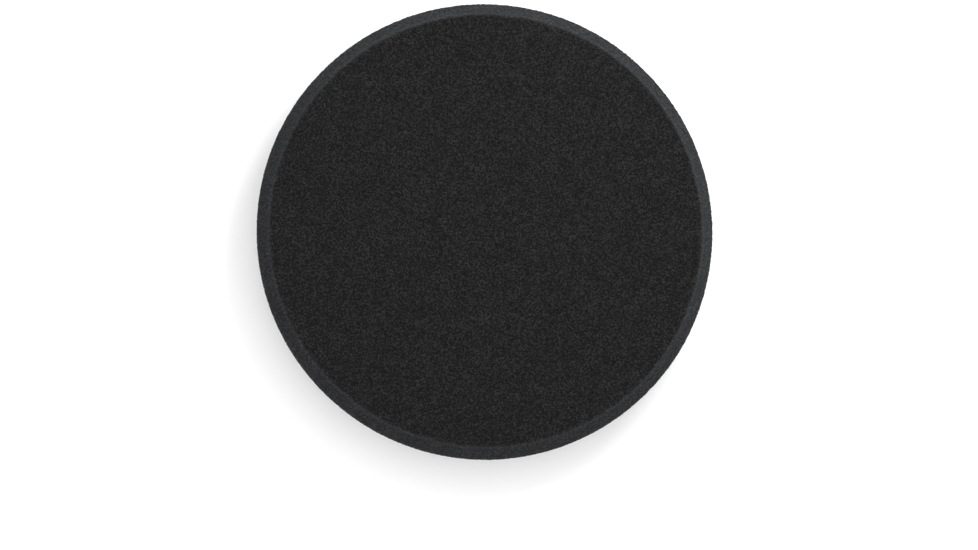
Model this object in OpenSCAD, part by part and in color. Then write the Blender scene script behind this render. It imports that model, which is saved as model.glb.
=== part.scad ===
// Round foam polishing pad with a hook-and-loop backing, lying on its loop face.
// Origin: centre of the loop face. +Z: out of the working face. Units: millimetres.

/* [Pad] */
// Largest diameter, across the band
pad_d = 160; // [158:1:180]
// Height from the tips of the loops to the working face
pad_h = 19; // [17:0.5:30]

/* [Foam head] */
// Diameter of the working face, where its sharp corner would be
face_d = 151.2; // [144:0.2:154]
// Radius of the softened corner around the working face
rim_r = 1.4; // [0.4:0.1:2.4]
// Height of the band's upper edge above the loop tips
band_top = 14.4; // [12:0.1:16]
// Radius of the softened corner at the band's upper edge
shoulder_r = 0.8; // [0.2:0.1:2]
// Height of the band's lower edge, where the undercut begins
band_bottom = 10.5; // [8:0.1:11.5]
// Height of the notch, where the undercut meets the neck
notch_z = 5; // [4:0.1:7]
// Diameter of the neck at the notch
notch_d = 148.4; // [140:0.2:152]
// Diameter of the neck where it is bonded to the backing
neck_d = 149; // [140:0.2:152]

/* [Backing] */
// Diameter of the loop backing and its adhesive
backing_d = 150; // [145:0.5:156]
// Thickness of the hot-melt adhesive film
film_t = 0.3; // [0.1:0.05:0.6]
// Thickness of the knitted ground cloth
cloth_t = 0.4; // [0.2:0.05:0.8]
// Height of the loop pile below the ground cloth
pile_t = 1.3; // [0.8:0.1:2]
// Radius of the pressed-down edge of the loop pile
pile_edge_r = 0.5; // [0.1:0.1:0.7]

/* [Hidden] */
$fn = 180;
arc_steps = 8;
undercut_steps = 16;
cloth_z = pile_t;
film_z = cloth_z + cloth_t;
foam_z = film_z + film_t;

function unit(v) = v / norm(v);

function angle_of(v) = atan2(v.y, v.x);

// Points along the arc of radius r that rounds corner p of an outline,
// between the outline's points before and after it
function rounded(before, p, after, r) =
    let (
        u = unit(before - p),
        v = unit(after - p),
        half = acos(u * v) / 2,
        centre = p + unit(u + v) * r / sin(half),
        start = angle_of(p + u * r / tan(half) - centre),
        finish = angle_of(p + v * r / tan(half) - centre),
        sweep = (finish - start + 540) % 360 - 180
    )
    [
        for (i = [0:arc_steps])
            let (a = start + sweep * i / arc_steps)
            centre + r * [cos(a), sin(a)]
    ];

// Points along the quarter ellipse from the band's lower edge in to the notch
function undercut(outer, inner) =
    [
        for (i = [0:undercut_steps])
            let (a = 90 * i / undercut_steps)
            [inner.x + (outer.x - inner.x) * cos(a), outer.y - (outer.y - inner.y) * sin(a)]
    ];

// A flat disc of diameter d and thickness t standing on height z
module disc(d, t, z) {
    translate([0, 0, z])
        cylinder(d = d, h = t);
}

// One piece of contour-cut foam: working face, chamfer, band, undercut and neck
module foam_head() {
    face_rim = [face_d / 2, pad_h];
    shoulder = [pad_d / 2, band_top];
    band_foot = [pad_d / 2, band_bottom];
    notch = [notch_d / 2, notch_z];
    outline = concat(
        [[0, foam_z], [0, pad_h]],
        rounded([0, pad_h], face_rim, shoulder, rim_r),
        rounded(face_rim, shoulder, band_foot, shoulder_r),
        undercut(band_foot, notch),
        [[neck_d / 2, foam_z]]
    );
    color([0.15, 0.15, 0.155])
        rotate_extrude()
            polygon(outline);
}

// Film that bonds the backing to the foam and shows as a fine lighter line
module adhesive_film() {
    color([0.3, 0.29, 0.32])
        disc(backing_d, film_t, film_z);
}

// Knitted cloth that carries the loops
module loop_ground_cloth() {
    color([0.13, 0.13, 0.14])
        disc(backing_d, cloth_t, cloth_z);
}

// Space filled by the loops, with its outer edge pressed down and rounded
module loop_pile() {
    pile_r = backing_d / 2;
    outline = concat(
        [[0, 0], [0, pile_t], [pile_r, pile_t]],
        rounded([pile_r, pile_t], [pile_r, 0], [0, 0], pile_edge_r)
    );
    color([0.1, 0.1, 0.11])
        rotate_extrude()
            polygon(outline);
}

foam_head();
adhesive_film();
loop_ground_cloth();
loop_pile();
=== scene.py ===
"""A round foam polishing pad lying on its loop face, on a pale floor in soft studio light.

The foam head, the adhesive film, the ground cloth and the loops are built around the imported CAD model.
Lengths are in metres. +Z points out of the working face, and +Y is up in the main picture.
"""
import math

import bpy
import numpy as np
from mathutils import Matrix, Vector


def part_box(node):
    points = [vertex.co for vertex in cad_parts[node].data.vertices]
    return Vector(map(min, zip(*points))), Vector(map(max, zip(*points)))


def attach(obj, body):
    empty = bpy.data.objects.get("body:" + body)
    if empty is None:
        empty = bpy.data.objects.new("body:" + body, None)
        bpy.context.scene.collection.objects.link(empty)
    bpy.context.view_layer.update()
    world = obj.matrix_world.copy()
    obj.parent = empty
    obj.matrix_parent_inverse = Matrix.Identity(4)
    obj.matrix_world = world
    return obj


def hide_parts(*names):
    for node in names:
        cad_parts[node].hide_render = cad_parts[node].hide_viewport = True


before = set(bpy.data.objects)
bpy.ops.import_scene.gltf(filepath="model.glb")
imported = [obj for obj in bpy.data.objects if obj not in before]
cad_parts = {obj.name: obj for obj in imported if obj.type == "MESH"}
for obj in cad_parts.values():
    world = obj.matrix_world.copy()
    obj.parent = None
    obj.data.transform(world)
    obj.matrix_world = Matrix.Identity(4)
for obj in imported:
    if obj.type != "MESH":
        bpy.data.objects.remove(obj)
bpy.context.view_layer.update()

MM = 0.001
rng = np.random.default_rng(531)

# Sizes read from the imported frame
foam_low, foam_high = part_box("foam_head")
film_low, film_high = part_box("adhesive_film")
cloth_low, cloth_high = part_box("loop_ground_cloth")
PILE_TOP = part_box("loop_pile")[1].z
BACKING_R = cloth_high.x

# Foam skin
CELL = 0.58 * MM               # distance between neighbouring points of the foam skin
CELL_JITTER = 0.3              # how far a point strays from its place, as a share of CELL
BONDED_COARSENESS = 8          # how many times wider the points are apart under the backing
BONDED_RINGS = 7
FACE_ROUGHNESS = 0.03 * MM     # how far cells stand out of the working face
EDGE_ROUGHNESS = 0.06 * MM     # how far they stand out of the cut sides
LUMP_SIZE = 1.4 * MM
LUMP_SHARE = 0.6               # how far lumps stand out, as a share of the cells
WAVINESS = 0.10 * MM           # slow unevenness of the cut sides
WAVE_SIZE = 22 * MM
FACE_CALM = 0.6                # the share of that waviness that the working face lacks
FACE_FALLOFF = 4               # how fast the face's finish gives way to the sides' round its rim
TALLEST_CELL = 2               # the most that one cell stands out, as a multiple of the roughness

# Foam colour
PORE = 0.62 * MM               # size of the pores drawn on the skin
PORE_SHARE = 0.3               # how much the pores count against the finer grain
MOTTLE = 5 * MM                # size of its lighter and darker patches
RIM_HEIGHT = 18.68 * MM        # where a painted highlight runs round the working face's rim, for light that its fuzzy edge catches
RIM_WIDTH = 0.65 * MM
RIM_PAINTED_HIGHLIGHT = 0.0075
# The foam's colour at each height in mm, from the working face down to the neck: a factor on its
# pores' own colour, and an amount added to it. The cut sides are paler than the face, partly as the
# cut's own tone and partly as painted sheen, and the root of the undercut is painted darker as
# painted shade where it faces down under the overhang.
TONES = [
    (19.0, 1.0, 0.0),
    (18.6, 1.25, 0.0029),
    (14.8, 1.25, 0.0031),
    (14.0, 1.25, 0.0031),
    (7.5, 1.25, 0.0040),
    (5.9, 0.0, 0.0),
    (5.0, 0.0, 0.0),
    (4.7, 1.1, 0.0012),
]
LIFT_TINT = (0.92, 0.96, 1.15)

# Backing, which was laid on by hand and sits a little off centre
BACKING_SHIFT = Vector((0.30 * MM, 0.05 * MM))
EDGE_STEPS = 900               # points round the edge of the film and the cloth
EDGE_TURNS = np.radians([60, 30, 0, -30, -60])
# Rings of the flat top and underside: distance in from the edge as a share of the radius, and points
FLAT_RINGS = [(0.8, 40), (0.55, 120), (0.25, 300), (0.04, EDGE_STEPS)]
FEWEST_POINTS = 6              # in the smallest ring of any skin
FILM_RAGGED = 0.12 * MM        # how far the cut edges stray in and out
CLOTH_RAGGED = 0.10 * MM
NICK_SIZE = 1.1 * MM           # length of their short nicks along the edge
DRIFT_SIZE = 6 * MM            # length of their slow drift
DRIFT_SHARE = 0.5              # how far the drift strays, as a share of the nicks
EDGE_BAND = 3 * MM             # how far in from the edge this reaches
LIP_HEIGHT = 0.2 * MM          # how far the cloth's edge curls up at its loosest place
LIP_REACH = 0.7 * MM           # how far it sticks out there
LIP_SPREAD = math.radians(7)

# Matted base of the pile
MAT_INSET = 0.4 * MM
MAT_LOW = 0.9 * MM             # its height above the floor
MAT_LUMPS = 0.22 * MM
MAT_LUMP_SIZE = 1.2 * MM
MAT_ROUGHNESS = 0.3            # its fine roughness, as a share of the lumps
MAT_LIP_SHARE = 0.8            # how much of the cloth's loose place it follows
MAT_CELL = 0.6 * MM            # distance between its points
MAT_RAGGED = 0.20 * MM         # how far its edge strays in and out

# Loops. Heights are shares of the pile's height, widths are in mm, and yarns are factors on YARN_R.
YARN_R = 0.085 * MM
YARN_SIDES = 3
ROOT_DEPTH = 0.05 * MM         # how far the yarn's ends reach up into the ground cloth
LOOP_BULGE = 0.3               # how far a loop bellies out on each side, as a share of its width
LOOP_ROUNDNESS = 0.8           # the shape of its end: 1 is round, and lower is squarer
GOLDEN_ANGLE = math.pi * (3 - math.sqrt(5))
FIELD_LOOPS = 7600
FIELD_INSET = 0.8 * MM
FIELD_SCATTER = 0.25 * MM      # how far a loop is from its even place
FIELD_SCATTER_MOST = 0.6 * MM
FIELD_LEAN = 0.6 * MM
FIELD_CLEARANCE = 1.6 * YARN_R  # left free below the loops for the yarn's own thickness
FIELD_HEIGHTS = (0.85, 1.0)
FIELD_WIDTHS = (1.1, 1.9)
FIELD_YARNS = (1.2, 1.8)
FIELD_STEPS = 5
FRINGE_LOOPS = 2400
FRINGE_INSETS = (0.25, 1.6)    # mm
FRINGE_LEANS = (-0.2, 0.3)     # mm outwards
FRINGE_LEAN_SCATTER = 0.12 * MM
FRINGE_HEIGHTS = (0.6, 1.0)
FRINGE_WIDTHS = (0.45, 0.8)
FRINGE_YARNS = (0.7, 1.1)
FRINGE_STEPS = 8

# Stray fibres, in mm where no unit is given
STRAY_FIBRES = 1400
STRAY_R = 0.032 * MM
STRAY_INSET = 0.15 * MM
STRAY_LOWEST_ROOT = 0.5        # as a share of the pile's height
STRAY_REACHES = (0.2, 0.55)
STRAY_BEND = 0.4
STRAY_DROPS = (-0.15, 0.6)
STRAY_LOWEST = 0.05 * MM
STRAY_TAPER = 0.6              # how much thinner a fibre is at its tip
STRAY_STEPS = 5


# ---------------------------------------------------------------- mesh helpers

def add_mesh(name, points, faces, smooth=True):
    """A mesh object in the frame's place. faces is a list of arrays of point numbers."""
    mesh = bpy.data.meshes.new(name)
    mesh.from_pydata(points.tolist(), [], [row for block in faces for row in block.tolist()])
    mesh.polygons.foreach_set("use_smooth", [smooth] * len(mesh.polygons))
    mesh.update()
    piece = bpy.data.objects.new(name, mesh)
    bpy.context.scene.collection.objects.link(piece)
    return piece


def add_values(piece, name, values):
    """Gives the piece's points a number each, which its material reads by name."""
    piece.data.attributes.new(name, "FLOAT", "POINT").data.foreach_set("value", values)


def value_noise(points, size, seed):
    """Smooth random values from -1 to 1 at the points, whose bumps are about size across."""
    side = 64
    lattice = np.random.default_rng(seed).uniform(-1, 1, (side, side, side))
    scaled = points / size + side / 2
    base = np.floor(scaled).astype(int)
    t = scaled - base
    t = t * t * (3 - 2 * t)
    total = np.zeros(len(points))
    for corner in np.ndindex(2, 2, 2):
        weight = np.prod(np.where(corner, t, 1 - t), axis=1)
        i, j, k = ((base + corner) % side).T
        total += weight * lattice[i, j, k]
    return total


def ring_angles(count):
    """Evenly spaced angles round a ring, starting anywhere."""
    return (rng.uniform() + np.arange(count)) * math.tau / count


def zip_rings(start_a, angles_a, start_b, angles_b):
    """Triangles between two rings of points, given each ring's first point number and its angles."""
    count_a, count_b = len(angles_a), len(angles_b)
    middle_a = (angles_a + math.pi / count_a) % math.tau
    middle_b = (angles_b + math.pi / count_b) % math.tau
    from_a = np.argsort(np.concatenate([middle_a, middle_b]), kind="stable") < count_a
    at_a = (np.argmin(middle_a) + np.cumsum(from_a) - from_a) % count_a
    at_b = (np.argmin(middle_b) + np.cumsum(~from_a) - ~from_a) % count_b
    a, next_a = start_a + at_a, start_a + (at_a + 1) % count_a
    b, next_b = start_b + at_b, start_b + (at_b + 1) % count_b
    return np.column_stack([a, b, np.where(from_a, next_a, next_b)])


def close_rings(rings):
    """Faces of the closed skin whose points are a top point, each ring's points and a bottom point."""
    starts = 1 + np.cumsum([0] + [len(angles) for angles in rings])
    faces = [
        zip_rings(starts[i], rings[i], starts[i + 1], rings[i + 1])
        for i in range(len(rings) - 1)
    ]
    first, last = np.arange(len(rings[0])), np.arange(len(rings[-1]))
    top, bottom = 0, starts[-1]
    faces.append(np.column_stack([top + 0 * first, 1 + first, 1 + np.roll(first, -1)]))
    faces.append(np.column_stack([bottom + 0 * last, starts[-2] + np.roll(last, -1), starts[-2] + last]))
    return faces


def add_tubes(name, paths, across, radius):
    """Many thin tubes in one mesh.

    paths is (tubes, steps, 3), across is each tube's side direction, and radius is (tubes, steps).
    """
    tubes, steps, _ = paths.shape
    forward = np.gradient(paths, axis=1)
    forward /= np.linalg.norm(forward, axis=2, keepdims=True)
    side = np.broadcast_to(across[:, None, :], paths.shape)
    up = np.cross(forward, side)
    turn = np.arange(YARN_SIDES) * math.tau / YARN_SIDES
    rings = (
        paths[:, :, None, :]
        + radius[:, :, None, None] * np.cos(turn)[:, None] * side[:, :, None, :]
        + radius[:, :, None, None] * np.sin(turn)[:, None] * up[:, :, None, :]
    )
    number = np.arange(tubes * steps * YARN_SIDES).reshape(tubes, steps, YARN_SIDES)
    beside = np.roll(number, -1, axis=2)
    walls = np.stack([number[:, :-1], beside[:, :-1], beside[:, 1:], number[:, 1:]], axis=-1)
    caps = [number[:, 0, ::-1], number[:, -1, :]]
    return add_mesh(name, rings.reshape(-1, 3), [walls.reshape(-1, 4), *caps])


# ---------------------------------------------------------------- foam head

class Outline:
    """A round CAD node's outline, from the centre of its top to the centre of its base."""

    def __init__(self, node, low, high):
        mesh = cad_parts[node].data
        points = np.empty(len(mesh.vertices) * 3)
        mesh.vertices.foreach_get("co", points)
        points = points.reshape(-1, 3)
        rings = np.column_stack([np.hypot(points[:, 0], points[:, 1]), points[:, 2]])
        rings = np.unique(np.round(rings / MM, 3), axis=0) * MM
        rings = rings[np.argsort(-rings[:, 1], kind="stable")]
        self.corners = np.vstack([[0, high], rings, [0, low]])
        steps = np.linalg.norm(np.diff(self.corners, axis=0), axis=1)
        self.along = np.concatenate([[0], np.cumsum(steps)])

    def at(self, way):
        """The radius and height at a distance along the outline."""
        return (
            np.interp(way, self.along, self.corners[:, 0]),
            np.interp(way, self.along, self.corners[:, 1]),
        )

    def outward(self, way):
        """The radius and height parts of the direction out of the surface."""
        ahead, behind = self.at(way + CELL), self.at(way - CELL)
        chord = np.hypot(ahead[0] - behind[0], ahead[1] - behind[1])
        return (behind[1] - ahead[1]) / chord, (ahead[0] - behind[0]) / chord


def foam_ring(outline, way, bonded, last):
    """One ring of the skin: its even angles, its points, their outward directions, and how far each is
    along the outline. A bonded ring is plain and stays put, and no point of another passes last."""
    step = BONDED_COARSENESS * CELL if bonded else CELL
    angles = ring_angles(max(FEWEST_POINTS, round(math.tau * outline.at(way)[0] / step)))
    jitter = 0 if bonded else CELL_JITTER
    turned = angles + jitter * rng.uniform(-1, 1, len(angles)) * math.tau / len(angles)
    slid = way + jitter * CELL * rng.uniform(-1, 1, len(angles))
    if not bonded:
        slid = np.clip(slid, 0, last)
    r, z = outline.at(slid)
    out_r, out_z = outline.outward(slid)
    points = np.column_stack([r * np.cos(turned), r * np.sin(turned), z])
    out = np.column_stack([out_r * np.cos(turned), out_r * np.sin(turned), out_z])
    return angles, points, out * (0 if bonded else 1), slid


def foam_relief(points, out):
    """How far each point of the skin stands out of the smooth cut: cells, lumps and slow waves."""
    flat = np.clip(out[:, 2], 0, 1) ** FACE_FALLOFF
    roughness = EDGE_ROUGHNESS + (FACE_ROUGHNESS - EDGE_ROUGHNESS) * flat
    push = roughness * rng.normal(size=len(points)).clip(-TALLEST_CELL, TALLEST_CELL)
    push += LUMP_SHARE * roughness * value_noise(points, LUMP_SIZE, 1)
    push += WAVINESS * (1 - FACE_CALM * flat) * value_noise(points, WAVE_SIZE, 2)
    return push


def foam_tones(height, way, rim):
    """The factor on the foam's colour and the amount added to it, from each point's height and its
    distance along the outline: painted shade at the undercut's root, paler cut sides that are partly
    painted sheen, and a line of painted highlight at rim."""
    heights, gains, lifts = np.array(TONES).T
    # a painted highlight along the rim, for light that its fuzzy cut edge catches
    line = RIM_PAINTED_HIGHLIGHT * np.exp(-(((way - rim) / RIM_WIDTH) ** 2))
    return np.interp(-height, -heights * MM, gains), np.interp(-height, -heights * MM, lifts) + line


def add_foam():
    """The contour-cut foam: uneven cells laid over the CAD outline, and plain where it is bonded."""
    outline = Outline("foam_head", foam_low.z, foam_high.z)
    neck_end, base = outline.along[-2:]
    row_step = CELL * math.sqrt(3) / 2
    skin_rows = np.linspace(CELL, neck_end, round((neck_end - CELL) / row_step))
    bonded_rows = np.linspace(neck_end, base, BONDED_RINGS + 2)[1:-1]
    rings = [foam_ring(outline, way, way > neck_end, neck_end) for way in [*skin_rows, *bonded_rows]]
    angles, points, out, ways = zip(*rings)
    points = np.vstack([[[0, 0, foam_high.z]], *points, [[0, 0, foam_low.z]]])
    out = np.vstack([[[0, 0, 1]], *out, [[0, 0, 0]]])
    way = np.concatenate([[0], *ways, [base]])

    push = foam_relief(points, out)
    foam = add_mesh("foam_skin", points + out * push[:, None], close_rings(angles))
    rim = np.interp(-RIM_HEIGHT, -outline.corners[1:-1, 1], outline.along[1:-1])
    # painted shade at the undercut's root, paler cut sides that are partly painted sheen, and a painted
    # highlight round the rim
    gain, lift = foam_tones(points[:, 2], way, rim)
    add_values(foam, "gain", gain)
    add_values(foam, "lift", lift)
    return foam


# ---------------------------------------------------------------- backing

def lip(angles):
    """From 0 to 1, how loose the cloth's edge is: it curls at one place, at +X."""
    turned = (angles + math.pi) % math.tau - math.pi
    return np.exp(-((turned / LIP_SPREAD) ** 2))


def edge_noise(angles, size, seed):
    """Smooth random values round the backing's edge, with bumps about size across."""
    edge = np.column_stack([np.cos(angles), np.sin(angles), 0 * angles]) * BACKING_R
    return value_noise(edge, size, seed)


def edge_stray(angles, inset, ragged, lip_share, seed):
    """How far out and up a disc strays from its even shape, at some distance in from its edge."""
    nicks = edge_noise(angles, NICK_SIZE, seed)
    drift = DRIFT_SHARE * edge_noise(angles, DRIFT_SIZE, seed + 1)
    loose = lip(angles) * lip_share
    fade = max(0.0, 1 - inset / EDGE_BAND)
    return fade * (ragged * (nicks + drift) + LIP_REACH * loose), fade**2 * LIP_HEIGHT * loose


def disc_rings(radius, half, lumpy):
    """Each ring's distance in from the edge, height above the disc's middle and number of points."""
    top = [(share * radius, half, count) for share, count in FLAT_RINGS]
    edge = [(half * (1 - math.cos(turn)), half * math.sin(turn), EDGE_STEPS) for turn in EDGE_TURNS]
    if not lumpy:
        return top + edge + [(inset, -half, count) for inset, _, count in reversed(top)]
    under = [
        (radius - r, -half, max(FEWEST_POINTS, round(math.tau * r / MAT_CELL)))
        for r in np.arange(radius - MAT_CELL, MAT_CELL, -MAT_CELL)
    ]
    return top + edge + under


def add_disc(name, radius, low, high, ragged, lip_share, seed, lumps=0.0):
    """A thin closed disc with a rounded, uneven edge, as film or cloth has where it was cut.

    lumps is how far its underside strays from flat.
    """
    middle, half = (low + high) / 2, (high - low) / 2
    rings, points = [], []
    for inset, height, count in disc_rings(radius, half, lumps > 0):
        angles = ring_angles(count)
        out, up = edge_stray(angles, inset, ragged, lip_share, seed)
        r = radius - inset + out
        x = r * np.cos(angles) + BACKING_SHIFT.x
        y = r * np.sin(angles) + BACKING_SHIFT.y
        rings.append(angles)
        points.append(np.column_stack([x, y, middle + height + up]))
    centre = np.array([[BACKING_SHIFT.x, BACKING_SHIFT.y, middle]])
    points = np.vstack([centre + [0, 0, half], *points, centre - [0, 0, half]])
    if lumps:
        under = points[:, 2] < middle
        lump = value_noise(points[under], MAT_LUMP_SIZE, seed + 2)
        rough = MAT_ROUGHNESS * rng.normal(size=under.sum())
        points[under, 2] += lumps * (lump + rough)
    return add_mesh(name, points, close_rings(rings))


# ---------------------------------------------------------------- loops

def polar(r, turn):
    """X and Y of the points at these distances and angles from the backing's centre."""
    return np.column_stack([r * np.cos(turn), r * np.sin(turn)]) + np.array(BACKING_SHIFT)


def loop_paths(roots, lean, height, width, steps):
    """Arched yarn paths that hang from roots, (loops, 2), and lean over by lean, (loops, 2)."""
    count = len(roots)
    heading = rng.uniform(0, math.tau, count)
    feet = np.column_stack([np.cos(heading), np.sin(heading), np.zeros(count)])
    down = np.column_stack([lean, -height])
    t = np.linspace(0, 1, steps)
    spread = -np.cos(math.pi * t) * (0.5 + LOOP_BULGE * np.sin(math.pi * t))
    drop = np.sin(math.pi * t) ** LOOP_ROUNDNESS
    root = np.column_stack([roots, np.full(count, PILE_TOP + ROOT_DEPTH)])
    sideways = width[:, None, None] * spread[:, None] * feet[:, None]
    paths = root[:, None] + sideways + drop[:, None] * down[:, None]
    across = np.cross(feet, down)
    return paths, across / np.linalg.norm(across, axis=1, keepdims=True)


def yarn_radius(paths, yarns):
    """A radius for every point of the paths, the same all along each."""
    return np.broadcast_to(rng.uniform(*yarns, (len(paths), 1)) * YARN_R, paths.shape[:2])


def add_field_loops():
    """The loops that cover the backing evenly, leaning every way."""
    number = np.arange(FIELD_LOOPS)
    r = (BACKING_R - FIELD_INSET) * np.sqrt((number + 0.5) / FIELD_LOOPS)
    roots = polar(r, number * GOLDEN_ANGLE)
    scatter = rng.normal(0, FIELD_SCATTER, (FIELD_LOOPS, 2))
    roots += scatter.clip(-FIELD_SCATTER_MOST, FIELD_SCATTER_MOST)
    lean = rng.normal(0, FIELD_LEAN, (FIELD_LOOPS, 2))
    height = rng.uniform(*FIELD_HEIGHTS, FIELD_LOOPS) * (PILE_TOP - FIELD_CLEARANCE)
    width = rng.uniform(*FIELD_WIDTHS, FIELD_LOOPS) * MM
    paths, across = loop_paths(roots, lean, height, width, FIELD_STEPS)
    return add_tubes("loop_field", paths, across, yarn_radius(paths, FIELD_YARNS))


def add_fringe():
    """The loops that show round the edge."""
    turn = rng.uniform(0, math.tau, FRINGE_LOOPS)
    out = np.column_stack([np.cos(turn), np.sin(turn)])
    r = BACKING_R - rng.uniform(*FRINGE_INSETS, FRINGE_LOOPS) * MM
    lean = out * rng.uniform(*FRINGE_LEANS, (FRINGE_LOOPS, 1)) * MM
    lean += rng.normal(0, FRINGE_LEAN_SCATTER, (FRINGE_LOOPS, 2))
    height = rng.uniform(*FRINGE_HEIGHTS, FRINGE_LOOPS) * (PILE_TOP - YARN_R)
    width = rng.uniform(*FRINGE_WIDTHS, FRINGE_LOOPS) * MM
    paths, across = loop_paths(polar(r, turn), lean, height, width, FRINGE_STEPS)
    return add_tubes("loop_fringe", paths, across, yarn_radius(paths, FRINGE_YARNS))


def add_stray_fibres():
    """Loose fibres at the cloth's cut edge, which curve down and thin out to their tips."""
    one_each = (STRAY_FIBRES, 1)
    turn = rng.uniform(0, math.tau, STRAY_FIBRES)
    out = np.column_stack([np.cos(turn), np.sin(turn), np.zeros(STRAY_FIBRES)])
    around = np.column_stack([-np.sin(turn), np.cos(turn), np.zeros(STRAY_FIBRES)])
    root = out * (BACKING_R - STRAY_INSET) + [BACKING_SHIFT.x, BACKING_SHIFT.y, 0]
    root[:, 2] = rng.uniform(STRAY_LOWEST_ROOT * PILE_TOP, cloth_high.z, STRAY_FIBRES)
    root[:, 2] += LIP_HEIGHT * lip(turn)
    reach = rng.uniform(*STRAY_REACHES, one_each) * MM
    bend = rng.normal(0, STRAY_BEND, one_each) * MM
    drop = rng.uniform(*STRAY_DROPS, one_each) * MM
    t = np.linspace(0, 1, STRAY_STEPS)[:, None]
    paths = root[:, None] + reach[:, None] * t * out[:, None] + bend[:, None] * t**2 * around[:, None]
    paths[:, :, 2] -= drop * (t**2).T
    paths[:, :, 2] = np.maximum(paths[:, :, 2], STRAY_LOWEST)
    radius = STRAY_R * (1 - STRAY_TAPER * t.T) * np.ones(one_each)
    return add_tubes("stray_fibres", paths, around, radius)


# ---------------------------------------------------------------- materials

def add_node(tree, kind, inputs=None, **settings):
    """A shader node. Each input is a value, or another node's output to link."""
    made = tree.nodes.new("ShaderNode" + kind)
    for name, value in settings.items():
        setattr(made, name, value)
    for name, value in (inputs or {}).items():
        if isinstance(value, bpy.types.NodeSocket):
            tree.links.new(value, made.inputs[name])
        else:
            made.inputs[name].default_value = value
    return made


def new_material(name, fixed):
    """A material with one Principled shader, whose fixed values are set on its own sockets."""
    material = bpy.data.materials.new(name)
    material.use_nodes = True
    tree = material.node_tree
    tree.nodes.clear()
    shader = add_node(tree, "BsdfPrincipled", fixed)
    output = add_node(tree, "OutputMaterial")
    tree.links.new(shader.outputs["BSDF"], output.inputs["Surface"])
    return material, tree, shader


def add_noise(tree, where, size, **inputs):
    """Noise whose largest features are about size across."""
    return add_node(tree, "TexNoise", {"Vector": where, "Scale": 1 / size, **inputs}).outputs["Fac"]


def add_ramp(tree, factor, stops):
    """A colour ramp through the given (position, colour) stops."""
    made = add_node(tree, "ValToRGB", {"Fac": factor})
    elements = made.color_ramp.elements
    while len(elements) < len(stops):
        elements.new(0.5)
    for element, (position, colour) in zip(elements, stops):
        element.position = position
        element.color = (*colour, 1)
    return made


def add_bump(tree, shader, height, strength, depth):
    """Relief from a height, on a shader."""
    bump = add_node(tree, "Bump", {"Height": height, "Strength": strength, "Distance": depth})
    tree.links.new(bump.outputs["Normal"], shader.inputs["Normal"])


def foam_pores(tree, where):
    """Height of the open cells: low in their pits and high on the struts between them."""
    cells = add_node(tree, "TexVoronoi", {"Vector": where, "Scale": 1 / PORE})
    grain = add_noise(tree, where, PORE, Detail=2.5, Roughness=0.6)
    mix = {0: cells.outputs["Distance"], 1: PORE_SHARE, 2: grain}
    return add_node(tree, "Math", mix, operation="MULTIPLY_ADD").outputs["Value"]


def foam_patches(tree, where):
    """A factor for the foam's uneven dye."""
    limits = {"From Min": 0.3, "From Max": 0.7, "To Min": 0.82, "To Max": 1.18}
    mottle = add_noise(tree, where, MOTTLE, Detail=3)
    return add_node(tree, "MapRange", {"Value": mottle, **limits}).outputs["Result"]


def foam_material():
    """Black open-celled foam: grain with painted shade in its pits and painted highlights on its struts,
    uneven dye, and a painted highlight round its rim.
    """
    material, tree, shader = new_material("foam", {
        "Roughness": 0.85,
        "Specular IOR Level": 0.04,
        "Sheen Weight": 0.055,
        "Sheen Roughness": 0.6,
        "Sheen Tint": (0.88, 0.98, 1.0, 1.0),
    })
    where = add_node(tree, "TexCoord").outputs["Object"]
    pores = foam_pores(tree, where)
    # the grain's colour paints shade in the cells' pits and lighter highlights on the struts between
    # them
    colour = add_ramp(tree, pores, [
        (0.48, (0.0007, 0.0007, 0.0007)),
        (0.64, (0.0048, 0.0046, 0.0046)),
        (0.82, (0.0158, 0.0152, 0.0152)),
    ])
    # gain paints shade at the undercut's root; lift makes the cut sides paler, partly as painted sheen,
    # and paints a highlight round the rim
    gain = add_node(tree, "Attribute", attribute_name="gain").outputs["Fac"]
    lift = add_node(tree, "Attribute", attribute_name="lift").outputs["Fac"]
    uneven = add_node(tree, "Math", {0: foam_patches(tree, where), 1: gain}, operation="MULTIPLY")
    added = add_node(tree, "VectorMath", {0: LIFT_TINT, "Scale": lift}, operation="SCALE")
    parts = {0: colour.outputs["Color"], 1: uneven.outputs["Value"], 2: added.outputs["Vector"]}
    shade = add_node(tree, "VectorMath", parts, operation="MULTIPLY_ADD")
    tree.links.new(shade.outputs["Vector"], shader.inputs["Base Color"])
    add_bump(tree, shader, pores, strength=0.7, depth=0.2 * MM)
    return material


def film_material():
    """Hot-melt film: a dull grey-violet line, uneven where it was squeezed out."""
    material, tree, shader = new_material("adhesive", {
        "Roughness": 0.5,
        "Specular IOR Level": 0.25,
    })
    where = add_node(tree, "TexCoord").outputs["Object"]
    streaks = add_noise(tree, where, 5 * MM, Detail=5)
    colour = add_ramp(tree, streaks, [(0.38, (0.010, 0.010, 0.011)), (0.62, (0.052, 0.047, 0.058))])
    tree.links.new(colour.outputs["Color"], shader.inputs["Base Color"])
    add_bump(tree, shader, streaks, strength=0.5, depth=0.1 * MM)
    return material


def add_stitch_rows(tree, where, spacing, direction):
    """Rows of stitches across X or Y, as a value from 0 to 1."""
    waves = 0.31 / spacing     # a wave texture of scale 1 repeats after 0.31
    inputs = {"Vector": where, "Scale": waves, "Distortion": 1.2}
    return add_node(tree, "TexWave", inputs, bands_direction=direction).outputs["Fac"]


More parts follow.
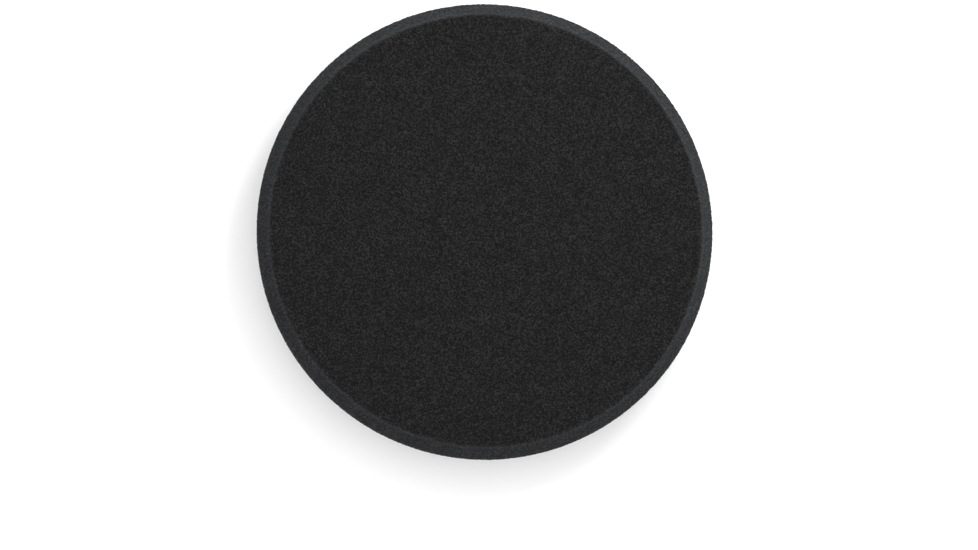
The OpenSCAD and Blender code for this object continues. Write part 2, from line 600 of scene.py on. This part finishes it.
def cloth_material():
    """Knitted ground: rows of stitches in blue-black yarn."""
    material, tree, shader = new_material("ground_cloth", {
        "Roughness": 0.8,
        "Specular IOR Level": 0.15,
        "Sheen Weight": 0.04,
        "Sheen Roughness": 0.5,
    })
    where = add_node(tree, "TexCoord").outputs["Object"]
    wales = add_stitch_rows(tree, where, 0.8 * MM, "X")
    courses = add_stitch_rows(tree, where, 0.6 * MM, "Y")
    knit = add_node(tree, "Math", {0: wales, 1: courses}, operation="MULTIPLY").outputs["Value"]
    colour = add_ramp(tree, knit, [(0.0, (0.004, 0.004, 0.006)), (1.0, (0.014, 0.014, 0.018))])
    tree.links.new(colour.outputs["Color"], shader.inputs["Base Color"])
    add_bump(tree, shader, knit, strength=0.8, depth=0.2 * MM)
    return material


def loop_material(name, dark, light):
    """Nylon yarn with a faint blue cast, a little lighter where filaments catch the light."""
    material, tree, shader = new_material(name, {
        "Roughness": 0.5,
        "Specular IOR Level": 0.25,
        "Sheen Weight": 0.02,
    })
    where = add_node(tree, "TexCoord").outputs["Object"]
    strands = add_noise(tree, where, 0.4 * MM, Detail=3, Distortion=2.5)
    colour = add_ramp(tree, strands, [(0.35, dark), (0.65, light)])
    tree.links.new(colour.outputs["Color"], shader.inputs["Base Color"])
    add_bump(tree, shader, strands, strength=1.0, depth=0.4 * MM)
    return material


# ---------------------------------------------------------------- stage

FLOOR_SIZE = 60.0
FLOOR_WHITE = 0.94
# Brightness of the white surround, by the sine of the height above the horizon
SURROUND = [(0.0, 1.1), (0.14, 1.5), (0.3, 3.1), (0.5, 3.0), (0.75, 0.45)]
KEY_POWER = 2.0
KEY_PLACE = Vector((0.24, 0.36, 0.24))
KEY_SIZE = 0.3

CAMERA_AZIMUTH = -47.0
CAMERA_ELEVATION = 84.0
CAMERA_DISTANCE = 1.2
CAMERA_LENS = 125.7
FRAME_SHIFT = Vector((1.48 * MM, -15.16 * MM))


def add_floor():
    """A plain pale floor at the height that the pad lies on."""
    half = FLOOR_SIZE / 2
    corners = np.array([[-half, -half, 0], [half, -half, 0], [half, half, 0], [-half, half, 0]])
    floor = add_mesh("floor", corners, [np.array([[0, 1, 2, 3]])], smooth=False)
    material, _, _ = new_material("floor", {
        "Base Color": (FLOOR_WHITE, FLOOR_WHITE, FLOOR_WHITE, 1),
        "Roughness": 0.9,
        "Specular IOR Level": 0.0,
    })
    floor.data.materials.append(material)


def add_area_light(name, place, size, power):
    """A round soft light that faces the pad."""
    lamp = bpy.data.lights.new(name, "AREA")
    lamp.shape = "DISK"
    lamp.size = size
    lamp.energy = power
    light = bpy.data.objects.new(name, lamp)
    light.location = place
    light.rotation_euler = (-place).to_track_quat("-Z", "Y").to_euler()
    light.visible_camera = False
    bpy.context.scene.collection.objects.link(light)


def add_world():
    """A white studio: soft light from all round at a middling height, and less from overhead."""
    world = bpy.data.worlds.new("studio")
    world.use_nodes = True
    tree = world.node_tree
    direction = add_node(tree, "TexCoord").outputs["Generated"]
    height = add_node(tree, "SeparateXYZ", {"Vector": direction}).outputs["Z"]
    light = add_ramp(tree, height, [(at, (bright, bright, bright)) for at, bright in SURROUND])
    light.color_ramp.interpolation = "EASE"
    tree.links.new(light.outputs["Color"], tree.nodes["Background"].inputs["Color"])
    bpy.context.scene.world = world


def add_camera():
    """Looks down on the working face, leaning towards -X and -Y, with +Y up in the picture."""
    azimuth, elevation = math.radians(CAMERA_AZIMUTH), math.radians(CAMERA_ELEVATION)
    back = Vector((
        math.sin(azimuth) * math.cos(elevation),
        -math.cos(azimuth) * math.cos(elevation),
        math.sin(elevation),
    ))
    up = (Vector((0, 1, 0)) - back * back.y).normalized()
    right = up.cross(back)
    centre = Vector((0, 0, foam_high.z / 2))
    data = bpy.data.cameras.new("camera")
    data.lens = CAMERA_LENS
    camera = bpy.data.objects.new("camera", data)
    place = centre + back * CAMERA_DISTANCE + right * FRAME_SHIFT.x + up * FRAME_SHIFT.y
    camera.matrix_world = Matrix.Translation(place) @ Matrix((right, up, back)).transposed().to_4x4()
    bpy.context.scene.collection.objects.link(camera)
    bpy.context.scene.camera = camera


# ---------------------------------------------------------------- the pad

def finish_piece(piece, material, slot, *nodes):
    """Gives a piece its material, makes it stand for CAD nodes, and lets it ride on the pad. slot is not
    used.
    """
    piece.data.materials.append(material)
    if nodes:
        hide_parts(*nodes)
    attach(piece, "root")


bpy.context.scene.view_settings.view_transform = "Standard"
add_camera()
add_world()
add_area_light("key_light", KEY_PLACE, KEY_SIZE, KEY_POWER)
add_floor()

foam = add_foam()
film = add_disc(
    "adhesive_edge", BACKING_R, film_low.z, film_high.z,
    ragged=FILM_RAGGED, lip_share=0.0, seed=11,
)
cloth = add_disc(
    "ground_cloth", BACKING_R, cloth_low.z, cloth_high.z,
    ragged=CLOTH_RAGGED, lip_share=1.0, seed=21,
)
matted = add_disc(
    "matted_pile", BACKING_R - MAT_INSET, MAT_LOW, PILE_TOP,
    ragged=MAT_RAGGED, lip_share=MAT_LIP_SHARE, seed=31, lumps=MAT_LUMPS,
)
field = add_field_loops()
fringe = add_fringe()
fibres = add_stray_fibres()

yarn = loop_material("loop_yarn", (0.003, 0.003, 0.005), (0.013, 0.013, 0.018))
# The matted base is the same yarn painted darker, as painted shade deep in the pile under the loops.
mat = loop_material("loop_yarn_painted_shade", (0.0005, 0.0005, 0.0010), (0.004, 0.004, 0.006))
finish_piece(foam, foam_material(), "foam", "foam_head")
finish_piece(film, film_material(), "adhesive", "adhesive_film")
finish_piece(cloth, cloth_material(), "ground_cloth", "loop_ground_cloth")
finish_piece(matted, mat, "loops", "loop_pile")
for piece in (field, fringe, fibres):
    finish_piece(piece, yarn, "loops")
